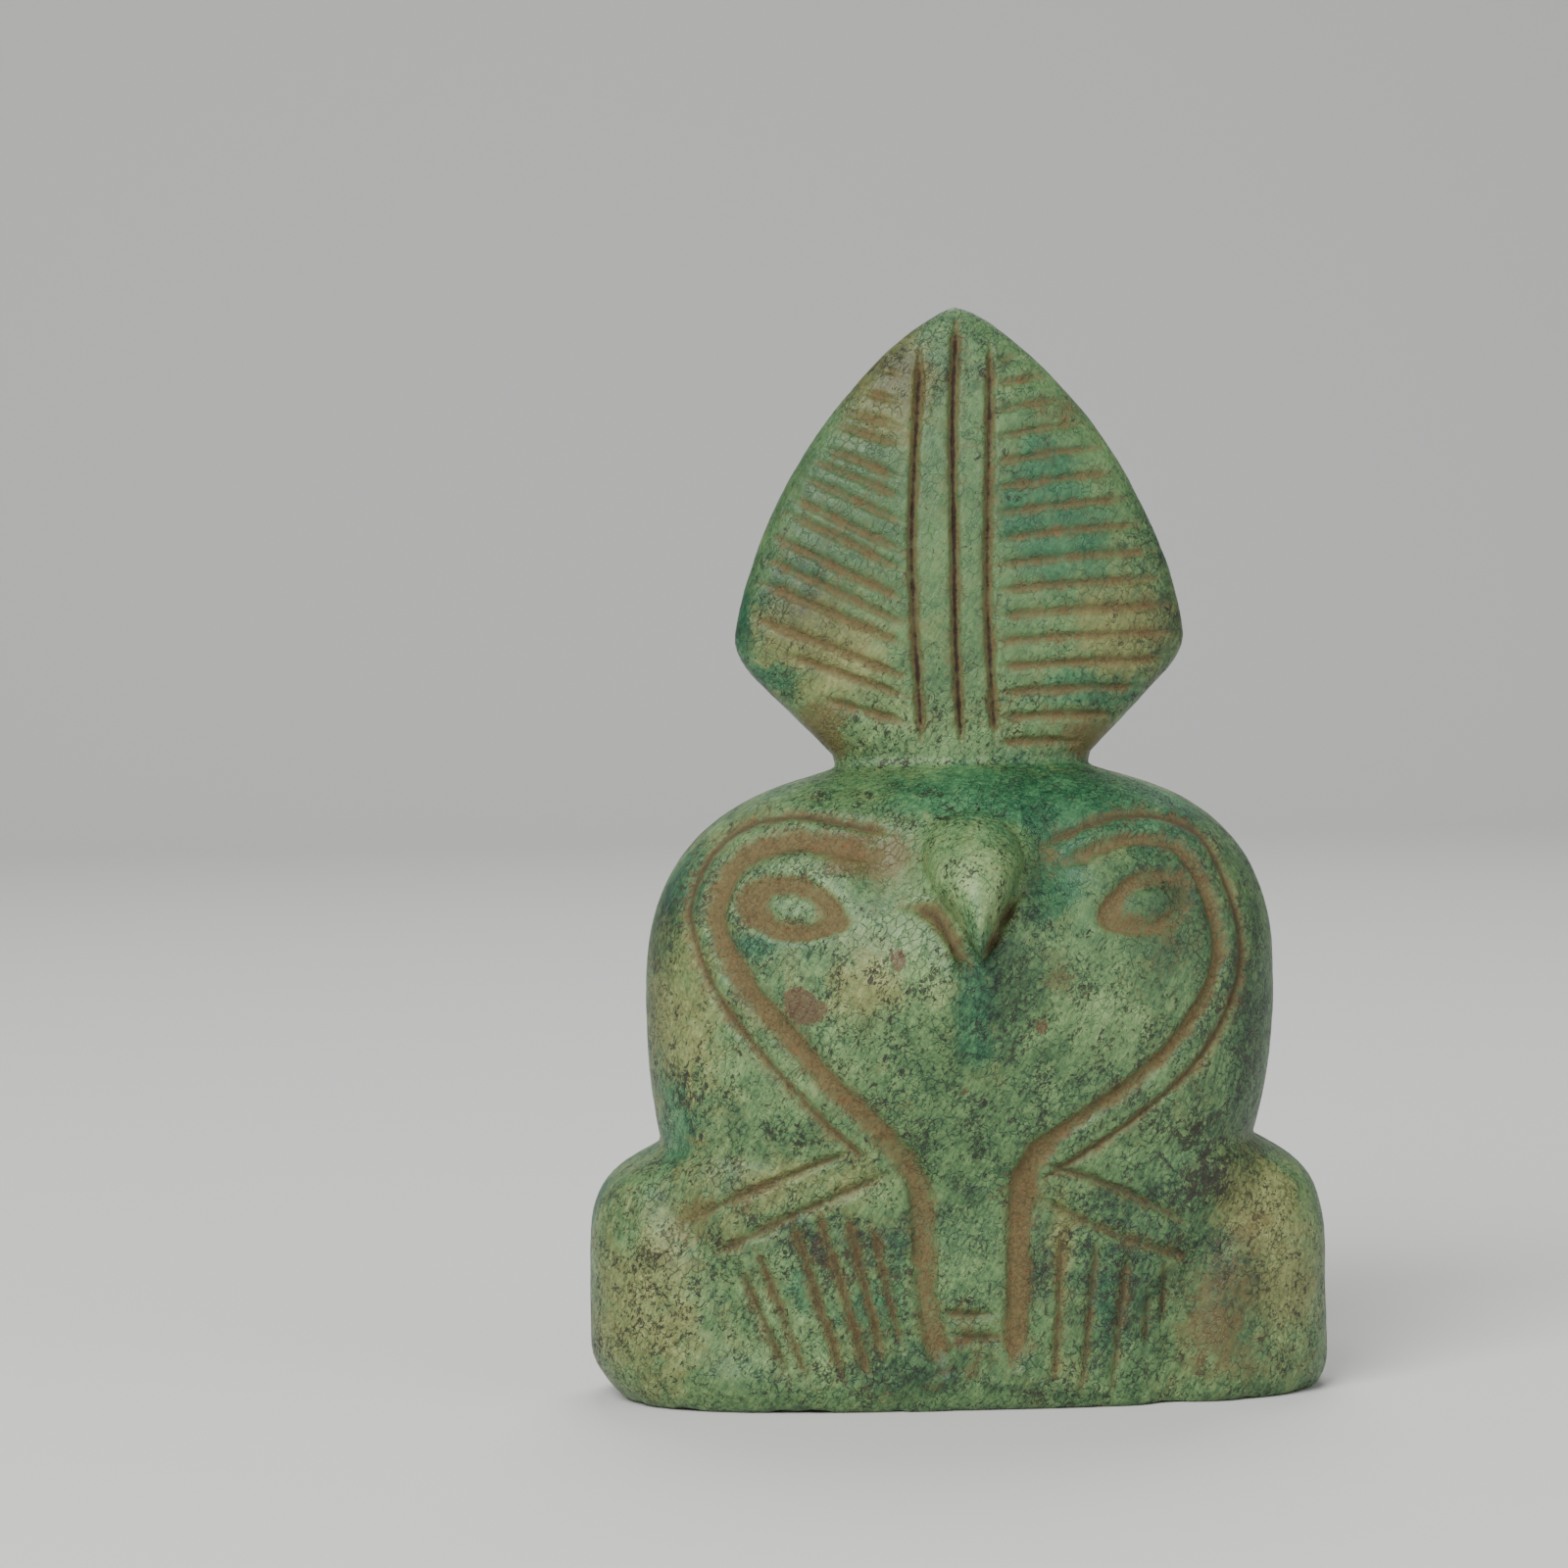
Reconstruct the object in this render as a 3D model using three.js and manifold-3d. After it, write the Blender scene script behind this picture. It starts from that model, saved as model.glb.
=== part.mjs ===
// Bust of a falcon-headed god under a crown of two tall feathers, carved from one block of green stone.
// Millimetres. The bust stands on its flat underside: +Z is up and the face looks along -Y.
import * as THREE from "three";
import { mergeVertices } from "three/addons/utils/BufferGeometryUtils.js";
import Module from "manifold-3d";

const wasm = await Module();
wasm.setup();

// Driving sizes of the block and its three main forms
const height = 130;
const shoulderWidth = 88.6;
const shoulderTop = 30.3;
const shoulderFront = 19;
const shoulderBack = 18;
const headWidth = 75.4;
const headTop = 75.6;
const headFront = 22.5;
const headBack = 20.5;
const neckWidth = 30.6;
const crownWidth = 53.6;
const crownThickness = 14;

// Soft modelling of the front and wear of the foot's edge, each a size across or up and a size out or in
const throatRise = 3.2;
const chinRidge = { rise: 0.8, width: 2.4, height: 6 };
const throatHollow = { depth: 1.1, width: 4, height: 6 };
const loreHollow = { depth: 1.5, width: 3.6, height: 5 };
const leftHem = { depth: 1.3, width: 3 };
const rightHem = { depth: 2, width: 3.6 };
const footWearLeft = { size: 4.2, rise: 7 };
const footWearRight = { size: 1.4, rise: 4 };
const footWearFace = { size: 1, rise: 4 };

// Sizes of the carving
const bandWidth = 2.9;
const bandGroove = { width: 1.2, depth: 0.75 };
const faceGroove = { width: 2.6, depth: 1.1, flat: 0.3 };
const barbGroove = { width: 1.15, depth: 0.65 };
const spineGroove = { width: 1.25, depth: 1.1 };
const strapGroove = { width: 1.2, depth: 0.8 };
const stripeGroove = { width: 1.3, depth: 0.7 };
const channelGroove = { width: 3.1, depth: 1.6, flat: 0.4 };
const mouthGroove = { width: 1.8, depth: 1 };
const barbCount = 16;
const barbEdgeGap = 1.8;
const eyeLength = 13.2;
const eyeHeight = 7.6;
const eyeDepth = 1.7;
const eyeBallRise = 0.1;
const beakWidth = 15.6;
const beakLength = 16.3;
const beakReach = 9;
const beakDroop = 1.6;

// Fineness of the faceted skin and of the cutting tools
const ringGap = 4;
const frontFacets = 24;
const backFacets = 10;
const strokeStep = 6.8;
const chipLift = 0.9;
const finestDetail = 0.03;

// Places that follow from the driving sizes
const headMiddle = 0.65 * headTop;
const neckHeight = headTop + 0.7;
const crownHeight = height - neckHeight;
const crownBelly = neckHeight + 0.233 * crownHeight;
const headLean = 0.01 * headWidth;
const crownLean = 0.026 * crownWidth;

const clamp01 = (t) => Math.min(1, Math.max(0, t));
const mix = (a, b, t) => a + (b - a) * t;
const ease = (from, to, x) => THREE.MathUtils.smoothstep(x, from, to);
const bell = (distance, reach) => Math.exp(-((distance / reach) ** 2));

// A profile that is full at 0 and closes like a dome at 1
const dome = (t, shoulder, fall) => (1 - clamp01(t) ** shoulder) ** fall;

function smoothMax(a, b, blend) {
  const h = Math.max(blend - Math.abs(a - b), 0) / blend;
  return Math.max(a, b) + (h * h * blend) / 4;
}

const smoothMin = (a, b, blend) => -smoothMax(-a, -b, blend);

// Places on the three forms as shares of each form's half width and height, and smooth lines through them
const onHead = (x, z) => [headLean + (x * headWidth) / 2, z * headTop];
const onChest = (x, z) => [(x * shoulderWidth) / 2, z * shoulderTop];
const onCrown = (x, z) => [crownLean + (x * crownWidth) / 2, neckHeight + z * crownHeight];
const smoothLine = (points) => new THREE.SplineCurve(points.map(([x, z]) => new THREE.Vector2(x, z)));
const headLine = (shares) => smoothLine(shares.map(([x, z]) => onHead(x, z)));
const chestLine = (shares) => smoothLine(shares.map(([x, z]) => onChest(x, z)));
const crownLine = (shares) => smoothLine(shares.map(([x, z]) => onCrown(x, z)));

// The horizontal cut through the stone at one height: how far it reaches each way and how square it is
function cutAt(z) {
  const shoulderRise = dome((z / shoulderTop - 0.46) / 0.58, 3.5, 0.18);
  const headRise = z > headMiddle
    ? dome((z - headMiddle) / (headTop - headMiddle), 2.5, 0.37)
    : 1 - 0.38 * (1 - z / headMiddle) ** 2;
  const chestRise = z > headMiddle ? headRise : 2 * headRise - 1;
  const climb = (z - crownBelly) / (height - crownBelly);
  const ogive = dome(climb, 1.65, 0.74);
  const flare = neckWidth / 2 + 0.97 * Math.max(0, z - neckHeight);
  const feathers = (1.01 * crownWidth * ogive) / 2;
  const crownHalf = smoothMin(flare, feathers, 0.05 * crownWidth * ogive + 1e-6);
  const crownHalfThickness = (crownThickness / 2) * dome(climb, 2.2, 0.62);

  const waistBlend = 0.1 * shoulderTop * bell(z - shoulderTop, 0.4 * shoulderTop) + 1e-6;
  const neckBlend = 0.14 * neckWidth * bell(z - neckHeight, 0.2 * neckWidth) + 1e-6;
  const join = (shoulder, head, crown) =>
    smoothMax(smoothMax(shoulder, head, waistBlend), crown, neckBlend);
  const half = join((shoulderWidth / 2) * shoulderRise, (headWidth / 2) * headRise, crownHalf);
  const footWear = ({ size, rise }) => size * Math.max(0, 1 - z / rise) ** 2;
  const towardsHead = ease(0.85 * shoulderTop, headMiddle, z);
  const towardsCrown = ease(headMiddle, neckHeight, z);
  const front = join(shoulderFront * shoulderRise, headFront * chestRise, crownHalfThickness);
  const back = join(shoulderBack * shoulderRise, headBack * headRise, crownHalfThickness);
  return {
    middle: headLean * towardsHead + (crownLean - headLean) * towardsCrown,
    left: half - footWear(footWearLeft),
    right: half - footWear(footWearRight),
    front: front - footWear(footWearFace),
    back: back - footWear(footWearFace),
    squareness: mix(mix(2.9, 2.4, towardsHead), 2.25, towardsCrown),
  };
}

// The valleys where the wig falls past the shoulders, from the waist down to the foot
const wigHem = {
  left: chestLine([[-0.82, 0.97], [-0.75, 0.74], [-0.68, 0.58], [-0.62, 0.26]]),
  right: chestLine([[0.82, 0.94], [0.76, 0.79], [0.64, 0.62], [0.57, 0.3], [0.55, 0.1]]),
};

function distanceTo(line, x, z, samples = 14) {
  const here = new THREE.Vector2(x, z);
  return Math.min(...line.getPoints(samples).map((p) => p.distanceTo(here)));
}

// Soft modelling of the front, in millimetres proud of the plain form
function swell(x, z) {
  const [beakX, throatZ] = onHead(-0.03, 0.68);
  const throat = throatRise * bell(x - beakX, 0.16 * headWidth) * bell(z - throatZ, 0.13 * headTop);
  const spot = ([spotX, spotZ], { width, height: tall }) => bell(x - spotX, width) * bell(z - spotZ, tall);
  const chin = chinRidge.rise * spot(onHead(-0.1, 0.69), chinRidge);
  const hollow = throatHollow.depth * spot(onHead(0.12, 0.63), throatHollow);
  const [loreX, loreZ] = onHead(0.27, 0.85);
  const besideBeak = Math.abs(x - headLean) - loreX + headLean;
  const lores = loreHollow.depth * bell(besideBeak, loreHollow.width) * bell(z - loreZ, loreHollow.height);
  const hem = (line, { depth, width }) => depth * bell(distanceTo(line, x, z), width);
  return throat + chin - hollow - lores - hem(wigHem.left, leftHem) - hem(wigHem.right, rightHem);
}

const surfaceY = (x, z) => {
  const cut = cutAt(z);
  const across = x < cut.middle ? (cut.middle - x) / cut.left : (x - cut.middle) / cut.right;
  return -cut.front * (1 - clamp01(across) ** cut.squareness) ** (1 / cut.squareness) - swell(x, z);
};

const surfacePoint = (x, z) => new THREE.Vector3(x, surfaceY(x, z), z);

function surfaceNormal(x, z) {
  const reach = 0.4;
  const across = surfacePoint(x + reach, z).sub(surfacePoint(x - reach, z));
  const up = surfacePoint(x, z + reach).sub(surfacePoint(x, z - reach));
  return across.cross(up).normalize();
}

// A closed skin over rings of points, each ring with as many points, with the two ends capped
function skinOver(rings) {
  const count = rings[0].length;
  const middleOf = (ring) => ring.reduce((sum, p) => sum.add(p), new THREE.Vector3()).divideScalar(count);
  const points = [...rings.flat(), middleOf(rings[0]), middleOf(rings.at(-1))];
  const [foot, tip] = [points.length - 2, points.length - 1];
  const faces = [];
  for (let i = 0; i < count; i++) {
    const next = (i + 1) % count;
    faces.push(foot, next, i);
    for (let r = 0; r + 1 < rings.length; r++) {
      const [low, high] = [r * count, (r + 1) * count];
      faces.push(low + i, low + next, high + next, low + i, high + next, high + i);
    }
    const last = (rings.length - 1) * count;
    faces.push(tip, last + i, last + next);
  }
  return new THREE.BufferGeometry().setFromPoints(points).setIndex(faces);
}

function solidFrom(geometry) {
  const bare = geometry.clone();
  bare.deleteAttribute("normal");
  bare.deleteAttribute("uv");
  const merged = mergeVertices(bare, 1e-4);
  return new wasm.Manifold(new wasm.Mesh({
    numProp: 3,
    vertProperties: merged.attributes.position.array,
    triVerts: new Uint32Array(merged.index.array),
  }));
}

// Ring heights an even way apart along the outline, so that a flat top gets as many as a steep side,
// and one more close above the foot for its worn edge
function ringHeights() {
  const steps = 2000;
  const lengths = [0];
  const heights = [0];
  for (let i = 1, last = cutAt(0); i <= steps; i++) {
    const z = (height * i) / steps;
    const cut = cutAt(z);
    const step = Math.hypot(z - heights.at(-1), cut.left - last.left, cut.front - last.front);
    lengths.push(lengths.at(-1) + step);
    heights.push(z);
    last = cut;
  }
  const count = Math.round(lengths.at(-1) / ringGap);
  const even = Array.from({ length: count }, (_, k) => {
    const target = (k * lengths.at(-1)) / (count - 1);
    return Math.min(heights[lengths.findIndex((l) => l >= target)], 0.9995 * height);
  });
  return [0, 0.4 * ringGap, ...even.slice(1)];
}

function ringAt(z) {
  const cut = cutAt(z);
  const roundness = 2 / cut.squareness;
  const bend = (value) => Math.sign(value) * Math.abs(value) ** roundness;
  const point = (angle) => {
    const across = bend(Math.cos(angle));
    const x = cut.middle + across * (across < 0 ? cut.left : cut.right);
    const outward = bend(Math.sin(angle));
    const y = outward < 0 ? outward * cut.front : outward * cut.back;
    return new THREE.Vector3(x, outward < -1e-6 ? y - swell(x, z) : y, z);
  };
  const front = Array.from({ length: frontFacets }, (_, i) => point(Math.PI * (1 + i / frontFacets)));
  const back = Array.from({ length: backFacets }, (_, i) => point((Math.PI * i) / backFacets));
  return [...front, ...back];
}

// The block with its head, shoulders and crown, before any line is cut
const makeForm = () => solidFrom(skinOver(ringHeights().map(ringAt)));

const [beakMiddle, beakRoot] = onHead(-0.012, 0.928);

// Half the beak's width a share of the way down it: a pear that closes to a hooked tip
function beakHalf(t) {
  const crest = t < 0.4 ? Math.sqrt(1 - (1 - t / 0.4) ** 2.5) : 1;
  const pinch = (1 - 0.42 * ease(0.44, 0.58, t)) * (1 - clamp01(2 * t - 1) ** 1.4);
  return Math.max((beakWidth / 2) * crest * pinch, 0.3);
}

// How far the beak's ridge stands out a share of the way down it: it arches forward, then hooks back at the tip
const beakArch = (t) => dome(1 - t / 0.72, 2, 0.6) * (1 - 0.35 * ease(0.8, 1, t));

function makeBeak() {
  const slices = 12;
  const arcFacets = 14;
  const ring = (t) => {
    const z = beakRoot - t * beakLength;
    const half = beakHalf(t);
    const reach = beakReach * beakArch(t);
    const droop = beakDroop * ease(0.5, 1, t);
    const arc = Array.from({ length: arcFacets + 1 }, (_, i) => {
      const turn = (Math.PI * i) / arcFacets;
      const x = beakMiddle - half * Math.cos(turn);
      const out = Math.sin(turn) ** 1.3;
      const y = surfaceY(x, z) + swell(x, z) + 0.3 - reach * out;
      return new THREE.Vector3(x, y, z - droop * out ** 2);
    });
    const inside = surfaceY(beakMiddle, z) + beakReach;
    return [...arc, ...[half, -half].map((across) => new THREE.Vector3(beakMiddle + across, inside, z))];
  };
  const rings = Array.from({ length: slices }, (_, i) => ring(1 - (0.985 * i) / (slices - 1)));
  return solidFrom(skinOver(rings));
}

// One chisel stroke along a line on the front: a V, or a trough where it has a flat, shallow at its two ends
function makeStroke(line, { width, depth, flat = 0 }) {
  const count = Math.max(3, Math.ceil(line.getLength() / strokeStep) + 1);
  const rings = Array.from({ length: count }, (_, i) => {
    const t = i / (count - 1);
    const here = line.getPoint(t);
    const ahead = line.getTangent(t);
    const normal = surfaceNormal(here.x, here.y);
    const along = new THREE.Vector3(ahead.x, 0, ahead.y);
    along.addScaledVector(normal, -along.dot(normal)).normalize();
    const side = along.clone().cross(normal);
    const share = i === 0 || i === count - 1 ? 0.55 : 1;
    const lip = ((width / 2) * (1 - flat)) / depth;
    const place = surfacePoint(here.x, here.y);
    const corner = (across, out) =>
      place.clone().addScaledVector(side, across).addScaledVector(normal, out);
    const mouth = (width * share) / 2 + lip * chipLift;
    const bed = (width * share * flat) / 2;
    const floor = flat > 0
      ? [corner(-bed, -depth * share), corner(bed, -depth * share)]
      : [corner(0, -depth * share)];
    return [corner(-mouth, chipLift), ...floor, corner(mouth, chipLift)];
  });
  const solid = solidFrom(skinOver(rings));
  return solid.volume() < 0 ? solidFrom(skinOver(rings.reverse())) : solid;
}

// The two lines on each side that frame the face, with the raised band between them
function faceLines() {
  const inner = [
    headLine([[-0.29, 0.866], [-0.53, 0.89], [-0.7, 0.862], [-0.79, 0.79], [-0.763, 0.727], [-0.675, 0.652],
      [-0.444, 0.515], [-0.227, 0.411]]),
    headLine([[0.288, 0.848], [0.5, 0.884], [0.68, 0.862], [0.776, 0.751], [0.767, 0.675], [0.66, 0.584],
      [0.48, 0.504], [0.19, 0.411]]),
  ];
  const outside = (line, sign, until) => {
    const points = Array.from({ length: 12 }, (_, i) => {
      const t = (until * i) / 11;
      const p = line.getPoint(t);
      const ahead = line.getTangent(t);
      const gap = sign * bandWidth * (1 + 0.3 * ease(0.4, 0.8, t));
      return [p.x - gap * ahead.y, p.y + gap * ahead.x];
    });
    const start = [points[0][0] - (sign * bandWidth) / 2, points[0][1] - 0.1 * bandWidth];
    return smoothLine([start, ...points]);
  };
  return [
    ...inner.map((line) => makeStroke(line, faceGroove)),
    makeStroke(outside(inner[0], -1, 0.95), bandGroove),
    makeStroke(outside(inner[1], 1, 0.97), bandGroove),
  ];
}

// Three long cuts part the two feathers and mark their quills, and barbs run out from the quills to the edge
function crownLines() {
  const spines = [
    [[-0.169, 0.898], [-0.217, 0.572], [-0.225, 0.385], [-0.195, 0.035]],
    [[0, 0.965], [-0.03, 0.76], [-0.037, 0.5], [-0.036, 0.24], [-0.017, 0.02]],
    [[0.15, 0.916], [0.127, 0.665], [0.109, 0.404], [0.116, 0.218], [0.135, 0.03]],
  ].map((shares) => makeStroke(crownLine(shares), spineGroove));
  const barb = (side, i) => {
    const s = i / (barbCount - 1);
    const [startX, startZ] = side < 0
      ? onCrown(-0.255, 0.075 + 0.825 * s + 0.008 * Math.sin(2.4 * i))
      : onCrown(0.165, 0.029 + 0.846 * s);
    const steep = Math.sin(Math.PI * Math.min(1, 1.25 * s));
    const rise = side < 0 ? 0.3 + 0.22 * steep : 0.21 * s ** 1.4;
    const arch = side < 0 ? 0.3 : 0.7;
    // A barb stops short of the edge at the height where it ends, which is found in a few passes
    let run = 0;
    for (let pass = 0; pass < 6; pass++) {
      const cut = cutAt(startZ + rise * run);
      const edge = cut.middle + side * (side < 0 ? cut.left : cut.right);
      const room = Math.abs(edge - startX) - barbEdgeGap;
      run = Math.max(barbEdgeGap, Math.min(room, 0.5 * crownWidth * (0.36 + 2.6 * s)));
    }
    const point = (share) => {
      const lift = rise * run * share + arch * share * (1 - share);
      return [startX + side * run * share, startZ + lift];
    };
    return makeStroke(smoothLine([0, 0.5, 1].map(point)), barbGroove);
  };
  const barbs = [-1, 1].flatMap((side) => Array.from({ length: barbCount }, (_, i) => barb(side, i)));
  return [...spines, ...barbs];
}

// The wig's two lappets: a slanting strap over a fan of stripes on each side, and the channels between them
function chestLines() {
  const stroke = (shares, groove) => makeStroke(chestLine(shares), groove);
  const straps = [
    [[-0.74, 0.745], [-0.577, 0.865], [-0.3, 1.025]],
    [[-0.675, 0.617], [-0.512, 0.739], [-0.21, 0.93]],
    [[0.19, 0.96], [0.375, 0.865], [0.59, 0.703]],
    [[0.19, 0.82], [0.386, 0.677], [0.6, 0.561]],
  ].map((points) => stroke(points, strapGroove));
  // Each stripe has the place of its top, how far it leans for each step down, and how low it ends
  const stripes = [
    [-0.615, 0.585, 0.3, 0.12], [-0.565, 0.66, 0.25, 0.12], [-0.47, 0.77, 0.21, 0.12],
    [-0.4, 0.8, 0.2, 0.12], [-0.322, 0.79, 0.155, 0.2], [-0.257, 0.745, 0.15, 0.24],
    [0.25, 0.7, -0.046, 0.08], [0.341, 0.655, -0.078, 0.05], [0.424, 0.62, -0.085, 0.05],
    [0.481, 0.48, -0.03, 0.2], [0.53, 0.58, -0.04, 0.3],
  ].map(([x, top, lean, end]) => {
    const drop = top - end;
    const middle = [x + 0.5 * lean * drop, top - 0.5 * drop];
    return stroke([[x, top], middle, [x + lean * drop, end]], stripeGroove);
  });
  const channels = [
    [[-0.185, 1.02], [-0.13, 0.86], [-0.12, 0.64], [-0.108, 0.38], [-0.07, 0.17]],
    [[0.18, 1.02], [0.142, 0.89], [0.13, 0.64], [0.126, 0.38], [0.12, 0.19]],
  ].map((points) => stroke(points, channelGroove));
  const ties = [
    [[-0.095, 0.39], [0, 0.378], [0.08, 0.383]],
    [[-0.055, 0.3], [0.03, 0.287], [0.11, 0.3]],
  ].map((points) => stroke(points, strapGroove));
  return [...straps, ...stripes, ...channels, ...ties];
}

// The mouth runs from its two corners down the foot of the beak to its hooked tip
function mouthLines() {
  return [-1, 1].map((side) => {
    const besideBeak = (t, gap) => [beakMiddle + side * (beakHalf(t) + gap), beakRoot - t * beakLength];
    const line = [besideBeak(0.55, 2), besideBeak(0.53, 0.4), besideBeak(0.7, 0.3), besideBeak(0.92, 0.2)];
    return makeStroke(smoothLine(line), mouthGroove);
  });
}

// An almond set into the face: the outline of a lens, drawn to a point at the inner corner and turned
function makeAlmond(side, size, sink, tilt) {
  const [x, z] = onHead(0.552 * side, 0.787);
  const lens = new THREE.SphereGeometry(1, 14, 8);
  const at = lens.attributes.position;
  for (let i = 0; i < at.count; i++) {
    const inward = -side * at.getX(i);
    at.setZ(i, at.getZ(i) * (1 - 0.35 * clamp01(inward) ** 1.5) - 0.12 * clamp01(inward) ** 3);
  }
  lens.scale(size.x / 2, size.y, size.z / 2);
  lens.rotateY(-side * tilt);
  const normal = surfaceNormal(x, z);
  const turn = new THREE.Quaternion().setFromUnitVectors(new THREE.Vector3(0, -1, 0), normal);
  lens.applyQuaternion(turn);
  const place = surfacePoint(x, z).addScaledVector(normal, -sink);
  return solidFrom(lens.translate(...place));
}

function carveEyes(stone) {
  for (const [side, tilt] of [[-1, 0.16], [1, 0.24]]) {
    const lift = 0.35 * eyeDepth;
    const socket = makeAlmond(side, { x: eyeLength, y: eyeDepth + lift, z: eyeHeight }, -lift, tilt);
    const swellOut = 1.2 * eyeDepth;
    const ballSize = { x: 0.64 * eyeLength, y: swellOut, z: 0.6 * eyeHeight };
    const ball = makeAlmond(side, ballSize, swellOut - eyeBallRise, tilt);
    stone = stone.subtract(socket).add(ball);
  }
  return stone;
}

function makeBust() {
  let stone = makeForm().add(makeBeak());
  for (const tool of [...faceLines(), ...mouthLines(), ...crownLines(), ...chestLines()]) {
    stone = stone.subtract(tool);
  }
  return carveEyes(stone).simplify(finestDetail);
}

function toGeometry(solid) {
  const mesh = solid.getMesh();
  return new THREE.BufferGeometry()
    .setAttribute("position", new THREE.BufferAttribute(mesh.vertProperties, mesh.numProp))
    .setIndex(new THREE.BufferAttribute(mesh.triVerts, 1));
}

const greenStone = new THREE.MeshStandardMaterial({ color: 0x7f9f78, roughness: 0.55, metalness: 0 });
const bust = new THREE.Mesh(toGeometry(makeBust()), greenStone);
bust.name = "falcon_bust";

const part = new THREE.Group();
part.add(bust);

export default part;
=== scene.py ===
# A falcon-headed bust under a crown of two tall feathers, carved from one block of mottled green stone.
# Metres. It stands on its flat underside at z = 0, and its face looks along -Y.
import math

import bmesh
import bpy
import numpy as np
from mathutils import Matrix, Vector, noise


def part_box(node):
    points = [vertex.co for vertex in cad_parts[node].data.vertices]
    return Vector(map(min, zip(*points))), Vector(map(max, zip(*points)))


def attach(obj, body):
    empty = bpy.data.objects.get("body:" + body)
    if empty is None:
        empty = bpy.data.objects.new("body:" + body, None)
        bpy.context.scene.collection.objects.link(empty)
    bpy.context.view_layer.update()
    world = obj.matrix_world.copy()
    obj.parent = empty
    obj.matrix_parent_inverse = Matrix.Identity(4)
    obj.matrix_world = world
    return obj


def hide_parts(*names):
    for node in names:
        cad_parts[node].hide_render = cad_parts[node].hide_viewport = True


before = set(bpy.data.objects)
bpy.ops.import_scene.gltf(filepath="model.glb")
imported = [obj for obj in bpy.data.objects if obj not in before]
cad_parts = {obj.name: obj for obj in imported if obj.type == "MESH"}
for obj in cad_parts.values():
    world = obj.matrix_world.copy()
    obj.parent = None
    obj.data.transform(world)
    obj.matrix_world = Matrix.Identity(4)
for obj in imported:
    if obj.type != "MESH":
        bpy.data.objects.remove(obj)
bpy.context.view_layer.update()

# The bust is one block of soft green stone: shoulders, a head in a striped wig, and a crown of two feathers.
# It was sawn off flat below, chiselled from the front and rubbed smooth. Before any line is cut it is a
# stack of level cuts, each a rounded square, that swell and narrow on the way up.
mm = 0.001
lowest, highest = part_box("falcon_bust")
tip = highest.z
shoulder_width = 88.6 * mm
shoulder_top = 30.3 * mm
shoulder_front = 19 * mm
shoulder_back = 18 * mm
head_width = 75.4 * mm
head_top = 75.6 * mm
head_front = 22.5 * mm
head_back = 20.5 * mm
head_middle = 0.65 * head_top
head_lean = 0.01 * head_width
neck_width = 30.6 * mm
neck_height = head_top + 0.7 * mm
neck_flare = 0.97
crown_width = 53.6 * mm
crown_thickness = 14 * mm
crown_lean = 0.026 * crown_width
crown_height = tip - neck_height
crown_belly = neck_height + 0.233 * crown_height
foot_edge = 0.5 * mm
foot_edge_rise = 0.8 * mm
least_blend = 1e-9


def ease(start, end, value):
    """0 before the start, 1 after the end, smooth between them."""
    share = np.clip((value - start) / (end - start), 0, 1)
    return share * share * (3 - 2 * share)


def bell(distance, reach):
    return np.exp(-((distance / reach) ** 2))


def dome(share, shoulder, fall):
    """1 at the foot of a dome and 0 at its top. A high shoulder keeps it full, a low fall rounds it late."""
    return (1 - np.clip(share, 0, 1) ** shoulder) ** fall


def soft_max(a, b, blend):
    """The larger of two, with a rounded change from one to the other."""
    near = np.maximum(blend - np.abs(a - b), 0) / blend
    return np.maximum(a, b) + near * near * blend / 4


def crown_cut(z):
    """The crown's half width and half thickness. It flares from neck to belly and then closes to the tip."""
    climb = (z - crown_belly) / (tip - crown_belly)
    ogive = dome(climb, shoulder=1.65, fall=0.74)
    flare = neck_width / 2 + neck_flare * np.maximum(0, z - neck_height)
    feathers = 1.01 * crown_width * ogive / 2
    half_width = -soft_max(-flare, -feathers, 0.05 * crown_width * ogive + least_blend)
    return half_width, crown_thickness / 2 * dome(climb, shoulder=2.2, fall=0.62)


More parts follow.
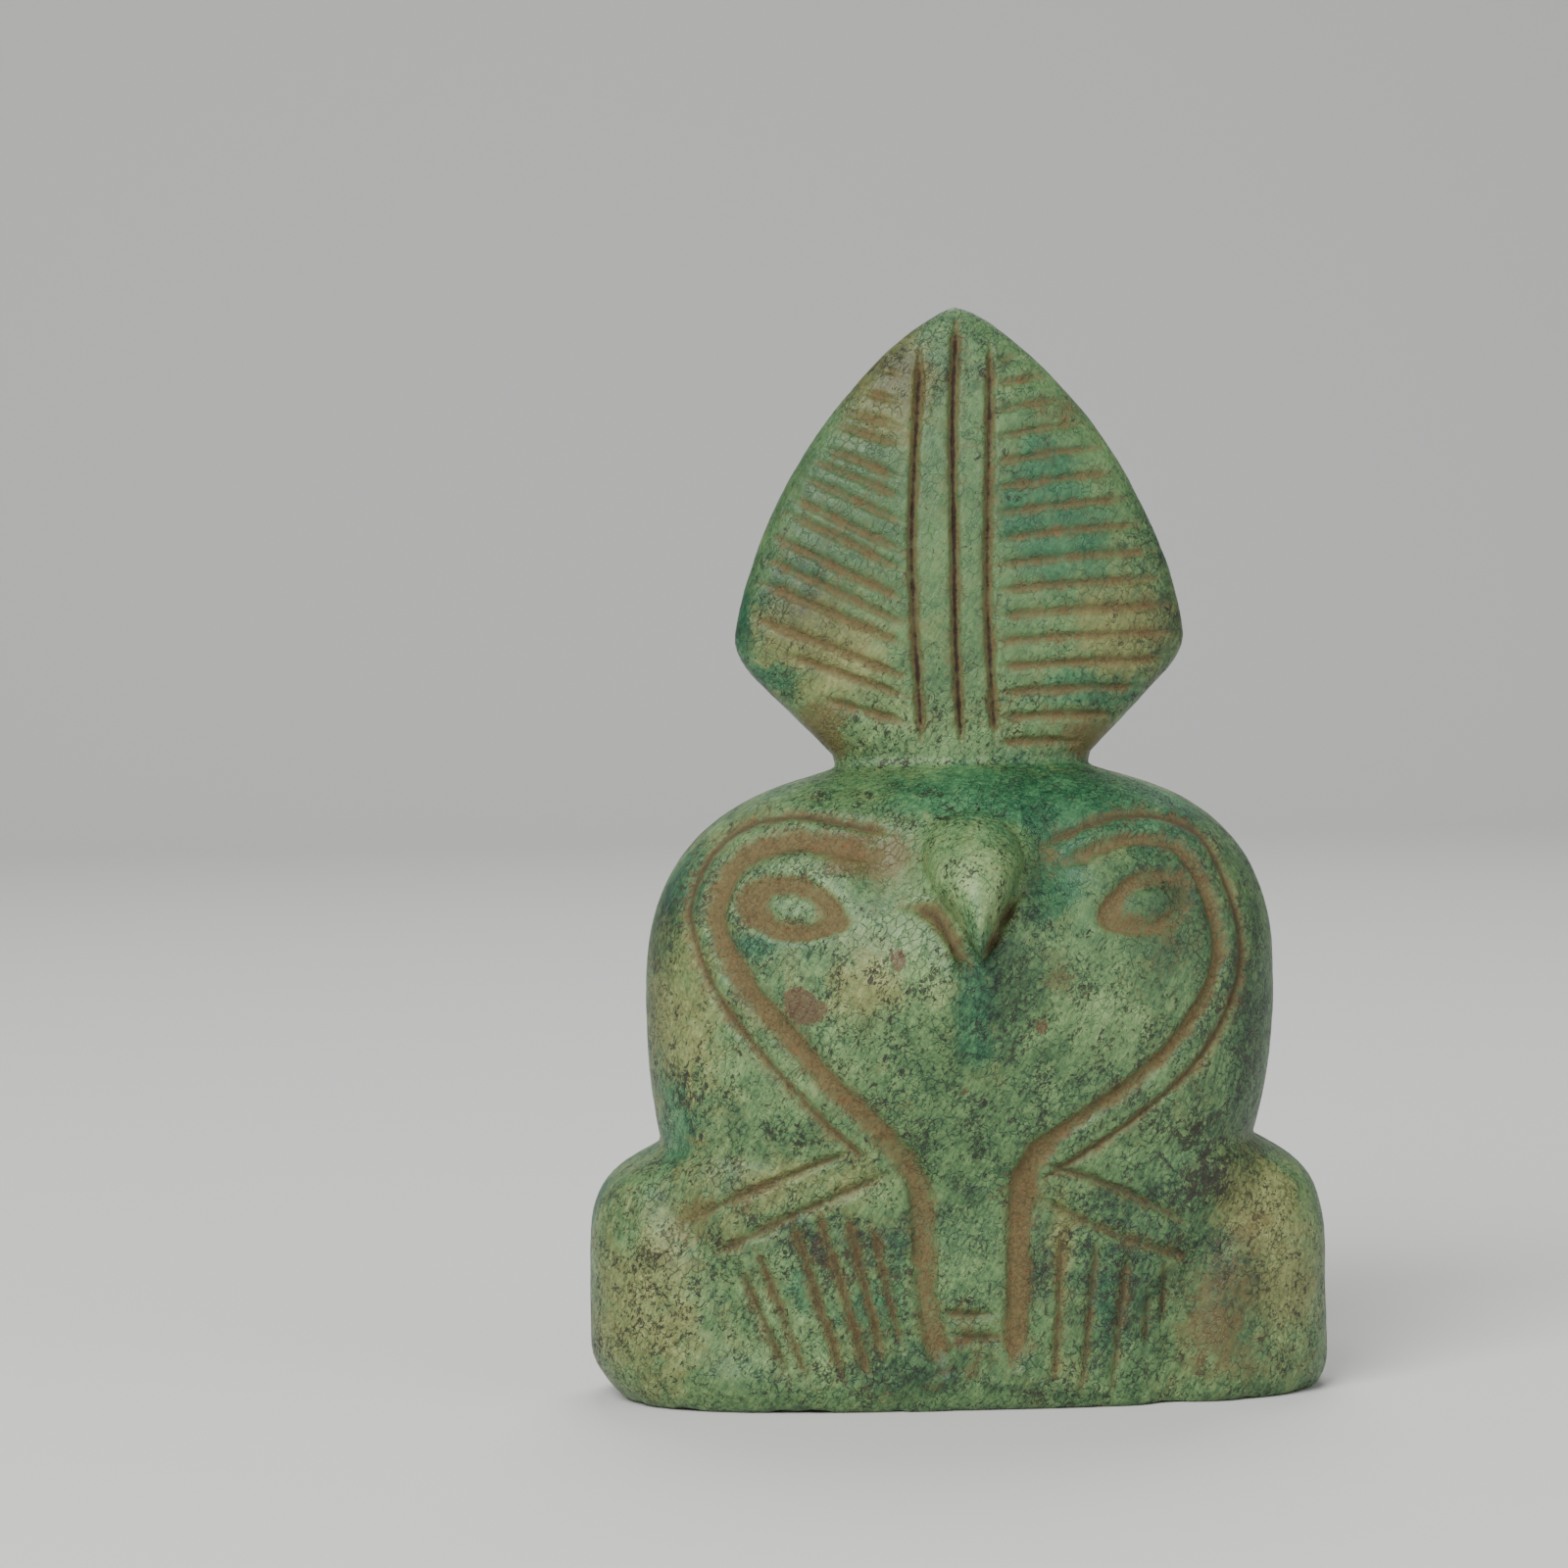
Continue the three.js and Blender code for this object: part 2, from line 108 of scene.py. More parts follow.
def cut_at(z):
    """The level cut through the block at some heights: its middle, its four reaches and its squareness."""
    shoulder_rise = dome((z / shoulder_top - 0.46) / 0.58, shoulder=3.5, fall=0.18)
    jaw_rise = 1 - 0.38 * (1 - z / head_middle) ** 2
    brow_rise = dome((z - head_middle) / (head_top - head_middle), shoulder=2.5, fall=0.37)
    head_rise = np.where(z > head_middle, brow_rise, jaw_rise)
    face_rise = np.where(z > head_middle, head_rise, 2 * head_rise - 1)
    crown_half, crown_half_thickness = crown_cut(z)
    waist_blend = 0.1 * shoulder_top * bell(z - shoulder_top, 0.4 * shoulder_top) + least_blend
    neck_blend = 0.14 * neck_width * bell(z - neck_height, 0.2 * neck_width) + least_blend

    def join(shoulder, head, crown):
        return soft_max(soft_max(shoulder, head, waist_blend), crown, neck_blend)

    def foot_wear(size, rise):
        worn_corner = size * np.maximum(0, 1 - z / rise) ** 2
        return worn_corner + foot_edge * np.maximum(0, 1 - z / foot_edge_rise) ** 2

    half = join(shoulder_width / 2 * shoulder_rise, head_width / 2 * head_rise, crown_half)
    front = join(shoulder_front * shoulder_rise, head_front * face_rise, crown_half_thickness)
    back = join(shoulder_back * shoulder_rise, head_back * head_rise, crown_half_thickness)
    towards_head = ease(0.85 * shoulder_top, head_middle, z)
    towards_crown = ease(head_middle, neck_height, z)
    squareness = 2.9 - 0.5 * towards_head
    return {
        "middle": head_lean * towards_head + (crown_lean - head_lean) * towards_crown,
        "left": half - foot_wear(4.2 * mm, rise=7 * mm),
        "right": half - foot_wear(1.4 * mm, rise=4 * mm),
        "front": front - foot_wear(1 * mm, rise=4 * mm),
        "back": back - foot_wear(1 * mm, rise=4 * mm),
        "squareness": squareness + (2.25 - squareness) * towards_crown,
    }


# The front is softly modelled in the same stone before it is cut: a full throat below the beak, hollows
# beside it, and a valley down each side of the chest where the wig's hem lies on the shoulder.
line_steps = 8


def on_head(x, z):
    """A place on the face, from shares of the head's half width and of its height."""
    return head_lean + x * head_width / 2, z * head_top


def on_chest(x, z):
    return x * shoulder_width / 2, z * shoulder_top


def smooth_line(places):
    """Points along a smooth line through a few places, each an across and an up."""
    p = np.array(places, float)
    last = len(p) - 1
    points = []
    for i in range(last):
        before, start, end, after = p[max(i - 1, 0)], p[i], p[i + 1], p[min(i + 2, last)]
        leave, arrive = (end - before) / 2, (after - start) / 2
        for t in np.arange(line_steps) / line_steps:
            cubic = (2 * start - 2 * end + leave + arrive) * t**3
            square = (3 * end - 3 * start - 2 * leave - arrive) * t**2
            points.append(cubic + square + leave * t + start)
    points.append(p[last])
    return np.array(points)


def nearest_on(line, x, z):
    """How far each place is from a line, how far along it its nearest point lies, and the line's length."""
    distance = np.full(x.shape, 1.0)
    along = np.zeros(x.shape)
    reached = 0.0
    for (ax, az), (bx, bz) in zip(line[:-1], line[1:]):
        length = math.hypot(bx - ax, bz - az)
        share = np.clip(((x - ax) * (bx - ax) + (z - az) * (bz - az)) / length**2, 0, 1)
        here = np.hypot(x - ax - share * (bx - ax), z - az - share * (bz - az))
        closer = here < distance
        distance[closer] = here[closer]
        along[closer] = reached + share[closer] * length
        reached += length
    return distance, along, reached


left_hem = [(-0.82, 0.97), (-0.75, 0.74), (-0.68, 0.58), (-0.62, 0.26)]
right_hem = [(0.82, 0.94), (0.76, 0.79), (0.64, 0.62), (0.57, 0.3), (0.55, 0.1)]
left_valley = smooth_line([on_chest(*p) for p in left_hem])
right_valley = smooth_line([on_chest(*p) for p in right_hem])


def swell(x, z):
    """How far the soft modelling of the front stands proud of the plain block."""

    def spot(proud, place, width, tall):
        return proud * (bell(x - place[0], width) * bell(z - place[1], tall))

    throat = spot(3.2 * mm, on_head(-0.03, 0.68), width=0.16 * head_width, tall=0.13 * head_top)
    chin = spot(0.8 * mm, on_head(-0.1, 0.69), width=2.4 * mm, tall=6 * mm)
    hollow = spot(1.1 * mm, on_head(0.12, 0.63), width=4 * mm, tall=6 * mm)
    lore_x, lore_z = on_head(0.27, 0.85)
    beside_beak = np.abs(x - head_lean) - lore_x + head_lean
    lores = 1.5 * mm * bell(beside_beak, 3.6 * mm) * bell(z - lore_z, 5 * mm)
    ridge_x, ridge_z = on_head(-0.075, 0.62)
    gentle_side, steep_side = bell(x - ridge_x, 3 * mm), bell(x - ridge_x, 0.55 * mm)
    ridge = 1.1 * mm * np.where(x < ridge_x, gentle_side, steep_side) * bell(z - ridge_z, 7 * mm)
    valleys = 1.3 * mm * bell(nearest_on(left_valley, x, z)[0], 3 * mm)
    valleys += 2 * mm * bell(nearest_on(right_valley, x, z)[0], 3.6 * mm)
    return throat + chin + ridge - hollow - lores - valleys


# The block's skin is one closed sheet of stone, rubbed smooth all over. It is wrapped round the level cuts,
# with most of its squares on the carved front and fewer on the plain back.
front_share = 0.8
thickness_share = 0.55
height_samples = 6001
turn_samples = 2001


def row_heights(shares):
    """Heights for shares of the way up the outline, so that a flat top gets as many rows as a steep side."""
    z = np.linspace(0, tip, height_samples)
    cut = cut_at(z)
    steps = np.sqrt(np.diff(z) ** 2 + np.diff(cut["left"]) ** 2 + np.diff(cut["front"]) ** 2)
    length = np.concatenate([[0], np.cumsum(steps)])
    return np.interp(shares * length[-1], length, z)


def turns(shares):
    """Angles round the block: the first shares run over the front, left to right, the rest over the back."""
    angle = np.linspace(0, math.pi, turn_samples)
    x, y = np.cos(angle), thickness_share * np.sin(angle)
    length = np.concatenate([[0], np.cumsum(np.hypot(np.diff(x), np.diff(y)))])
    over_front = math.pi + np.interp(shares / front_share * length[-1], length, angle)
    over_back = np.interp((shares - front_share) / (1 - front_share) * length[-1], length, angle)
    return np.where(shares < front_share, over_front, over_back)


def skin(around, up):
    """Points on the block's skin, before any line is cut."""
    z = row_heights(up)
    cut = cut_at(z)
    angle = turns(around % 1.0)
    across, outward = np.cos(angle), np.sin(angle)
    n = cut["squareness"]
    reach = (np.abs(across) ** n + np.abs(outward) ** n) ** (-1 / n)
    x = cut["middle"] + across * reach * np.where(across < 0, cut["left"], cut["right"])
    y = outward * reach * np.where(outward < 0, cut["front"], cut["back"])
    fade = ease(0, 0.12, -outward)
    return np.stack([x, y - swell(x, z) * fade, z], axis=1)


# The carving is chisel strokes in the front of the stone. Each stroke has its line, its width and depth, how
# much of its width is a flat floor, how full of earth it is, how much painted shade darkens its middle, and
# how black its middle is.
strokes = []


def chisel(places, width, depth, flat=0.0, earth=1.0, painted_shade=1.0, black=0.0):
    strokes.append({
        "line": smooth_line(places), "width": width, "depth": depth, "flat": flat,
        "earth": earth, "painted_shade": painted_shade, "black": black,
    })


# The face is framed by a raised band of the stone between two cut lines on each side, from the beak round
# the eye to the throat. The inner line is a broad flat groove, and the outer line keeps a band's width away.
band_width = 2.9 * mm
band_widening = 0.3
left_frame = [
    (-0.29, 0.866), (-0.53, 0.89), (-0.7, 0.862), (-0.79, 0.79), (-0.763, 0.727), (-0.675, 0.652),
    (-0.444, 0.515), (-0.227, 0.411),
]
right_frame = [
    (0.288, 0.848), (0.5, 0.884), (0.68, 0.862), (0.776, 0.751), (0.767, 0.675), (0.66, 0.584),
    (0.48, 0.504), (0.19, 0.411),
]
for side, places, width, earth, outer_end in [
    (-1, left_frame, 2.7 * mm, 1.05, 0.97),
    (1, right_frame, 1.9 * mm, 0.85, 1.0),
]:
    inner = [on_head(*p) for p in places]
    chisel(inner, width=width, depth=0.75 * mm, flat=0.25, earth=earth, painted_shade=0.3)
    line = strokes[-1]["line"]
    share = np.linspace(0, 1, len(line))
    ahead = np.gradient(line, axis=0)
    ahead /= np.linalg.norm(ahead, axis=1)[:, None]
    gap = side * band_width * (1 + band_widening * ease(0.4, 0.8, share))
    outer = line + np.stack([-gap * ahead[:, 1], gap * ahead[:, 0]], axis=1)
    start = outer[0] + [-side * band_width / 2, -0.1 * band_width]
    kept = outer[share <= outer_end]
    outer_places = np.vstack([start, kept[::line_steps], kept[-1]])
    chisel(outer_places, width=1.35 * mm, depth=0.55 * mm, earth=0.85)

# The crown's two feathers are parted by three long cuts, black with dirt in their depth, which also mark
# their quills. Barbs are cut from the quills to the edge, rising on the left and nearly level on the right.
barb_count = 16
barb_edge_gap = 1.8 * mm
length_rounds = 6


def on_crown(x, z):
    return crown_lean + x * crown_width / 2, neck_height + z * crown_height


for black, places in [
    (0.7, [(-0.169, 0.898), (-0.217, 0.572), (-0.225, 0.385), (-0.195, 0.035)]),
    (0.85, [(0, 0.965), (-0.03, 0.76), (-0.037, 0.5), (-0.036, 0.24), (-0.017, 0.02)]),
    (0.6, [(0.15, 0.916), (0.127, 0.665), (0.109, 0.404), (0.116, 0.218), (0.135, 0.03)]),
]:
    chisel([on_crown(*p) for p in places], width=1.4 * mm, depth=0.8 * mm, earth=0.95, black=black)
for side, edge_name in [(-1, "left"), (1, "right")]:
    for i in range(barb_count):
        climb = i / (barb_count - 1)
        if side < 0:
            root_x, root_z = on_crown(-0.255, 0.075 + 0.825 * climb + 0.008 * math.sin(2.4 * i))
            rise = 0.3 + 0.22 * math.sin(math.pi * min(1, 1.25 * climb))
            bow = 0.3 * mm
        else:
            root_x, root_z = on_crown(0.14, 0.029 + 0.846 * climb)
            rise = 0.21 * climb**1.4
            bow = 0.7 * mm
        longest = 0.5 * crown_width * (0.36 + 2.6 * climb)
        run = 0
        for _ in range(length_rounds):
            cut = cut_at(np.array([root_z + rise * run]))
            edge = cut["middle"][0] + side * cut[edge_name][0]
            room = abs(edge - root_x) - barb_edge_gap * (1 - 0.6 * climb)
            run = max(barb_edge_gap, min(room, longest))
        barb = [(root_x + side * run * t, root_z + rise * run * t + bow * t * (1 - t)) for t in (0, 0.5, 1)]
        barb_width = (1.4 - 0.25 * climb) * mm
        chisel(barb, width=barb_width, depth=0.48 * mm, earth=0.9 - 0.2 * climb, painted_shade=0.7)

# The wig's lappets lie on the chest, cut in the same stone: a slanting strap over a fan of stripes on each
# side, two wide channels down the middle with a panel between them, and two short ties across the panel. Two
# fine scratches run down from the ties.
strap_lines = [
    [(-0.74, 0.745), (-0.577, 0.865), (-0.3, 1.025)],
    [(-0.675, 0.617), (-0.512, 0.739), (-0.21, 0.93)],
    [(0.19, 0.96), (0.375, 0.865), (0.59, 0.703)],
    [(0.19, 0.82), (0.386, 0.677), (0.6, 0.561)],
]
tie_lines = [
    [(-0.095, 0.39), (0, 0.378), (0.08, 0.383)],
    [(-0.055, 0.3), (0.03, 0.287), (0.11, 0.3)],
]
for places in strap_lines + tie_lines:
    chisel([on_chest(*p) for p in places], width=1.5 * mm, depth=0.6 * mm, earth=0.68)
# Each stripe has the place of its top, how far it leans for each step down, how low it ends, and its earth
for x, top, lean, end, earth in [
    (-0.615, 0.585, 0.3, 0.12, 0.7),
    (-0.565, 0.66, 0.25, 0.12, 0.75),
    (-0.47, 0.77, 0.21, 0.12, 0.85),
    (-0.4, 0.8, 0.2, 0.12, 0.9),
    (-0.322, 0.79, 0.155, 0.2, 0.9),
    (-0.257, 0.745, 0.15, 0.24, 0.8),
    (0.25, 0.7, -0.046, 0.08, 0.8),
    (0.341, 0.655, -0.078, 0.05, 0.7),
    (0.424, 0.62, -0.085, 0.05, 0.65),
    (0.481, 0.48, -0.03, 0.2, 0.5),
    (0.53, 0.58, -0.04, 0.3, 0.6),
]:
    drop = top - end
    middle = (x + 0.5 * lean * drop, top - 0.5 * drop)
    stripe = [(x, top), middle, (x + lean * drop, end)]
    chisel([on_chest(*p) for p in stripe], width=1.4 * mm, depth=0.65 * mm, earth=earth)
for earth, places in [
    (0.85, [(-0.265, 1.11), (-0.18, 1.0), (-0.13, 0.86), (-0.12, 0.64), (-0.108, 0.38), (-0.07, 0.17)]),
    (1.05, [(0.245, 1.08), (0.175, 0.99), (0.142, 0.86), (0.13, 0.64), (0.126, 0.38), (0.12, 0.19)]),
]:
    channel = [on_chest(*p) for p in places]
    chisel(channel, width=3.1 * mm, depth=1 * mm, flat=0.3, earth=earth, painted_shade=0.3)
for x in (0.02, 0.055):
    chisel([on_chest(x, 0.25), on_chest(x, 0.07)], width=0.9 * mm, depth=0.4 * mm, earth=0.5)

# The beak is left standing in the stone: a narrow bill that closes to a hooked tip, on a broad soft base.
# The mouth is two short curved cuts along its foot.
beak_x, beak_root = on_head(0.005, 0.932)
beak_length = 16.7 * mm
beak_reach = 9 * mm
beak_droop = 1.6 * mm
beak_margin = 0.3 * mm
full_width_from = 0.36
furthest_out_at = 0.72
hook = 0.35
base_width = 17 * mm
bill_width = 11.8 * mm
least_half = 0.3 * mm


def beak_form(x, z):
    """How far the beak stands out of the face at each place, and how far its hooked tip hangs down there."""
    t = np.clip((beak_root - z) / beak_length, 0, 1)
    crest = np.sqrt(1 - np.clip(1 - t / full_width_from, 0, 1) ** 2.2)
    arch = dome(1 - t / furthest_out_at, shoulder=2, fall=0.6) * (1 - hook * ease(0.8, 1, t))
    bill_half = np.maximum(bill_width / 2 * crest * (1 - ease(0.3, 1, t)) ** 0.8, least_half)
    base_half = np.maximum(base_width / 2 * crest * (1 - 0.6 * ease(0.42, 0.75, t)), least_half)
    aside = np.abs(x - beak_x)
    bill = (1 - np.clip(aside / bill_half, 0, 1) ** 2) ** 0.6
    base = 1 - ease(0, base_half, aside)
    softness = 0.42 * (1 - ease(0.75, 1, t))
    share = np.where((t > 0) & (t < 1), arch * (softness * base + (1 - softness) * bill), 0)
    over_throat = beak_reach - beak_margin - np.maximum(swell(x, z), 0)
    return over_throat * share, beak_droop * share**2 * ease(0.5, 1, t)


left_mouth = [(-0.213, 0.79), (-0.13, 0.782), (-0.085, 0.751), (-0.05, 0.722), (-0.012, 0.705)]
right_mouth = [(0.16, 0.806), (0.127, 0.795), (0.09, 0.77), (0.05, 0.734), (0.022, 0.708)]
chisel([on_head(*p) for p in left_mouth], width=2 * mm, depth=0.8 * mm, earth=1.1)
chisel([on_head(*p) for p in right_mouth], width=1.3 * mm, depth=0.8 * mm, earth=0.8)

# Each eye is an almond socket in the stone with a low ball left in it, drawn to a point at its inner corner.
# A fine scratch runs out from the right one.
eye_length = 13.2 * mm
eye_height = 7.6 * mm
eye_depth = 1.2 * mm
eye_across = 0.552
eye_up = 0.787
eyes = [(-1, 0.16), (1, 0.24)]
chisel([on_head(0.7, 0.785), on_head(0.79, 0.822)], width=0.6 * mm, depth=0.3 * mm, earth=0.5)


def almond(side, tilt, x, z):
    """0 in the middle of an eye, 1 on its rim, more outside it. Its inner corner is drawn out and low."""
    eye_x, eye_z = on_head(eye_across * side, eye_up)
    out, up = side * (x - eye_x), z - eye_z
    along = (out * math.cos(tilt) + up * math.sin(tilt)) / (eye_length / 2)
    rise = (up * math.cos(tilt) - out * math.sin(tilt)) / (eye_height / 2)
    inward = np.clip(-along, 0, 1)
    return np.hypot(along, (rise + 0.12 * inward**3) / (1 - 0.35 * inward**1.5))


# The skin is made as a flat sheet of squares, split where lines, eyes and beak are cut and round the foot,
# and split again close to them. It is then wrapped round the block, and its sides and ends are closed.
columns = 120
rows = 159
foot_rise = 2.2 * mm
split_reaches = (0.9 * mm, 0.05 * mm)
sheet = bmesh.new()
bmesh.ops.create_grid(sheet, x_segments=columns, y_segments=rows, size=0.5)
bmesh.ops.translate(sheet, verts=sheet.verts, vec=(0.5, 0.5, 0))
for reach in split_reaches:
    faces = list(sheet.faces)
    centres = np.array([f.calc_center_median() for f in faces])
    x, _, z = skin(centres[:, 0], centres[:, 1]).T
    gap = np.full(len(faces), 1.0)
    for stroke in strokes:
        gap = np.minimum(gap, nearest_on(stroke["line"], x, z)[0] - stroke["width"] / 2)
    for side, tilt in eyes:
        gap = np.minimum(gap, (almond(side, tilt, x, z) - 1.1) * eye_height / 2)
    beside_beak = np.abs(x - beak_x) < 0.55 * base_width
    gap[beside_beak & (z < beak_root + 1 * mm) & (z > beak_root - 1.05 * beak_length)] = 0
    foot = z < foot_rise
    gap[foot] = np.minimum(gap[foot], 0.5 * mm)
    chosen = (gap < reach) & (centres[:, 0] < front_share)
    edges = {e for f, take in zip(faces, chosen) if take for e in f.edges}
    bmesh.ops.subdivide_edges(sheet, edges=list(edges), cuts=1, use_grid_fill=True)

flat = np.array([v.co for v in sheet.verts])
around, up = flat[:, 0], flat[:, 1]
points = skin(around, up)
nudge = 0.0015
least_length = 1e-12
towards = skin(around + nudge, up) - skin(around - nudge, up)
upwards = skin(around, np.minimum(up + nudge, 1)) - skin(around, np.maximum(up - nudge, 0))
outward = np.cross(towards, upwards)
outward /= np.maximum(np.linalg.norm(outward, axis=1), least_length)[:, None]
on_front = around < front_share
facing = on_front * ease(0.02, 0.2, -outward[:, 1])
x, z = points[:, 0], points[:, 2]


def grain(points, size, seed):
    """Smooth noise between about -1 and 1 with features of a given size."""
    shift = Vector((seed, 2.7 * seed, -seed))
    return np.array([noise.noise(Vector(p) / size + shift) for p in points])


# The strokes are cut into the stone by hand: each wanders, varies in breadth, and tapers at its ends.
# Earth lies in it and stains its edges, and its middle is darkened with painted shade.
wander = 0.13 * mm * grain(points, 1.6 * mm, seed=3) + 0.06 * mm * grain(points, 0.6 * mm, seed=5)
breadth = 1 + 0.3 * grain(points, 3.2 * mm, seed=9)
stroke_margin = 1.6 * mm
taper_reach = 2.6 * mm
black_reach = 0.5 * mm
carved = {name: np.zeros(len(points)) for name in ("depth", "earth", "cut", "black")}
for stroke in strokes:
    half = stroke["width"] / 2
    lo = stroke["line"].min(axis=0) - half - stroke_margin
    hi = stroke["line"].max(axis=0) + half + stroke_margin
    near = np.flatnonzero((x > lo[0]) & (x < hi[0]) & (z > lo[1]) & (z < hi[1]))
    distance, along, length = nearest_on(stroke["line"], x[near], z[near])
    distance = np.abs(distance + wander[near])
    taper = 0.3 + 0.7 * ease(0, taper_reach, np.minimum(along, length - along))
    floor = half * stroke["flat"]
    profile = 1 - ease(floor, 1.35 * half * (0.4 + 0.6 * taper) * breadth[near], distance)
    stain = bell(distance, (half + 1 * mm) * (0.6 + 0.4 * taper))
    for name, amount in {
        "depth": stroke["depth"] * taper * profile,
        "earth": stroke["earth"] * (0.35 + 0.65 * taper) * (0.5 * profile + 0.5 * stain),
        # The 'cut' layer is painted shade, darkest down the middle of a stroke where the groove is deepest
        "cut": stroke["painted_shade"] * taper * profile**2,
        "black": stroke["black"] * taper * (1 - ease(0, black_reach, distance)),
    }.items():
        carved[name][near] = np.maximum(carved[name][near], amount)

# Each eye's socket is sunk round the ball and filled with earth, less of it in the right eye's outer half
for side, tilt in eyes:
    out = almond(side, tilt, x, z) + 0.05 * grain(points, 1.5 * mm, seed=11)
    socket = eye_depth * (1 - ease(0.62, 1.15, out))
    ball = eye_depth * 1.1 * (1 - np.clip(out / 0.86, 0, 1) ** 2)
    carved["depth"] = np.maximum(carved["depth"], socket - ball)
    ring = (1 - ease(0.84, 1.22, out)) * ease(0.12, 0.7, out)
    if side > 0:
        from_middle = (x - on_head(eye_across, 0)[0]) / eye_length * 2
        ring *= 0.72 - 0.28 * np.clip(from_middle, -1, 1)
    carved["earth"] = np.maximum(carved["earth"], 1.05 * ring)
    # Painted shade along the edge of the ball and the rim of the socket
    painted_rim_shade = 0.45 * bell(out - 0.8, 0.12) + 0.5 * bell(out - 1.02, 0.05)
    carved["cut"] = np.maximum(carved["cut"], painted_rim_shade)

# The stone is rubbed a little uneven and finely pitted all over, and its edge round the foot is chipped
chip_rise = 2 * mm
rub = 0.16 * mm * grain(points, 9 * mm, seed=1) + 0.06 * mm * grain(points, 2.6 * mm, seed=2)
rub += 0.025 * mm * grain(points, 0.9 * mm, seed=8)
pits = 0.3 * mm * np.maximum(0, grain(points, 1.3 * mm, seed=21) - 0.45)
chips = np.maximum(0, grain(points, 6 * mm, seed=6) + 0.3 * grain(points, 1.5 * mm, seed=16) - 0.1)
chips *= 0.8 * mm * np.clip(1 - z / chip_rise, 0, 1)
amounts = {name: amount * facing for name, amount in carved.items()}
points += outward * (rub - pits - chips - amounts.pop("depth"))[:, None]
rise, droop = beak_form(points[:, 0], points[:, 2])
points[:, 1] -= rise * on_front
points[:, 2] -= droop * on_front
points = np.clip(points, lowest, highest)
x, z = points[:, 0], points[:, 2]

